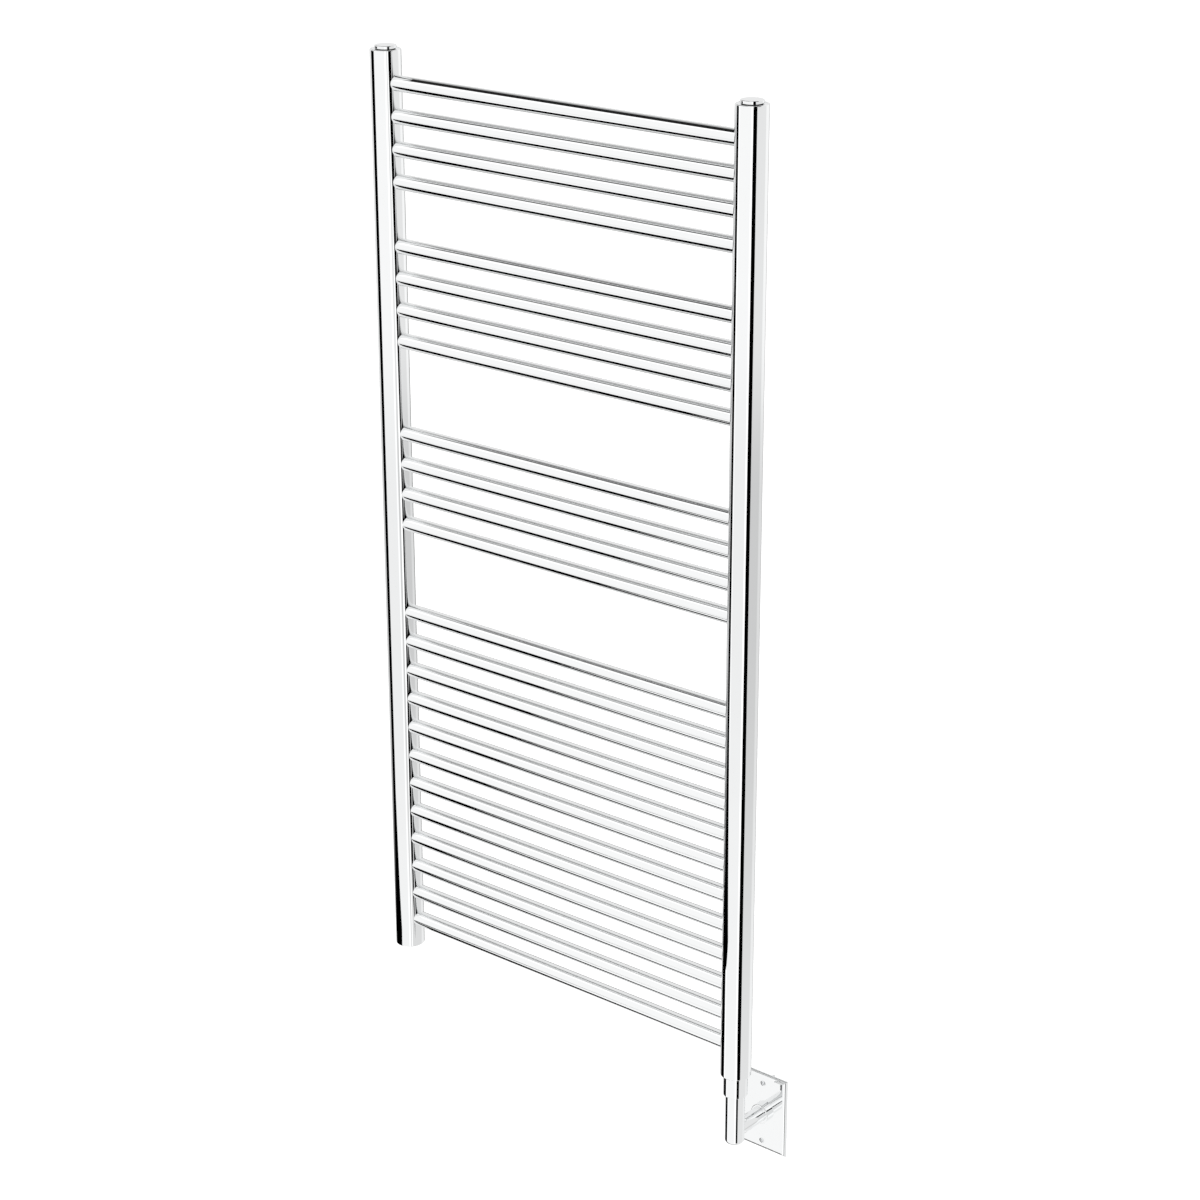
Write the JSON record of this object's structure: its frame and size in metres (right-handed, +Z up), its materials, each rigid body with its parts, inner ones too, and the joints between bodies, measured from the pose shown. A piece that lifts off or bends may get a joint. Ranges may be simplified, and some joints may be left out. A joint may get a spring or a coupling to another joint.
{
  "type": "towel warmer rack",
  "caption": "Wall-hung electric towel warmer: two round posts joined by grouped round rungs, with a heater head and a wired arm to a sliding wall plate.",
  "frame": {"origin": "centre of the four threaded wall bosses, on the plane of their outer faces; halfway between the posts and at mid-height of the rungs", "axes": "+X from the plain post to the heated post, +Y towards the wall, +Z up"},
  "size_m": [0.6148, 0.1104, 1.3589],
  "materials": {
    "post_chrome": "polished chrome plate",
    "rung_chrome": "polished chrome plate",
    "cap_chrome": "polished chrome plate",
    "head_chrome": "polished chrome plate",
    "plate_chrome": "polished chrome plate",
    "screw_steel": "turned stainless steel",
    "boss_steel": "zinc-plated steel",
    "sheath_steel": "drawn stainless sheath",
    "brass": "turned brass",
    "seal_rubber": "black synthetic rubber",
    "block_plastic": "moulded thermoset",
    "live_insulation": "brown silicone insulation",
    "neutral_insulation": "blue silicone insulation",
    "earth_insulation": "green silicone insulation"
  },
  "bodies": {
    "rack": {"left_post": "post_chrome", "right_post": "post_chrome", "rung_01": "rung_chrome", "rung_02": "rung_chrome", "rung_03": "rung_chrome", "rung_04": "rung_chrome", "rung_05": "rung_chrome", "rung_06": "rung_chrome", "rung_07": "rung_chrome", "rung_08": "rung_chrome", "rung_09": "rung_chrome", "rung_10": "rung_chrome", "rung_11": "rung_chrome", "rung_12": "rung_chrome", "rung_13": "rung_chrome", "rung_14": "rung_chrome", "rung_15": "rung_chrome", "rung_16": "rung_chrome", "rung_17": "rung_chrome", "rung_18": "rung_chrome", "rung_19": "rung_chrome", "rung_20": "rung_chrome", "rung_21": "rung_chrome", "rung_22": "rung_chrome", "rung_23": "rung_chrome", "rung_24": "rung_chrome", "left_top_disc": "cap_chrome", "left_bottom_disc": "cap_chrome", "right_top_disc": "cap_chrome", "right_bottom_disc": "cap_chrome", "left_cap_seal": "seal_rubber", "right_cap_seal": "seal_rubber", "left_top_cap": "cap_chrome", "right_top_cap": "cap_chrome", "left_upper_wall_boss": "boss_steel", "left_lower_wall_boss": "boss_steel", "right_upper_wall_boss": "boss_steel", "right_lower_wall_boss": "boss_steel", "reducer_collar": "head_chrome", "element_seal": "seal_rubber", "element_plug": "brass", "heating_rod": "sheath_steel", "terminal_housing": "head_chrome", "wall_arm": "head_chrome", "terminal_block": "block_plastic", "terminal_clamps": "brass", "thermal_cutout": "block_plastic", "live_lead_upper": "live_insulation", "live_lead_lower": "live_insulation", "neutral_lead": "neutral_insulation", "earth_bond_lead": "earth_insulation", "supply_live": "live_insulation", "supply_earth": "earth_insulation", "supply_neutral": "neutral_insulation", "lead_crimps": "brass", "arm_grommet": "seal_rubber"},
    "cover": {"wall_plate": "plate_chrome", "arm_ferrule": "plate_chrome", "ferrule_grub_screw": "screw_steel", "plate_screws": "screw_steel"}
  },
  "joints": [
    {"name": "cover_slide", "type": "slide", "parent": "rack", "child": "cover", "axis": [0, -1, 0], "range_m": [0, 0.025]}
  ]
}
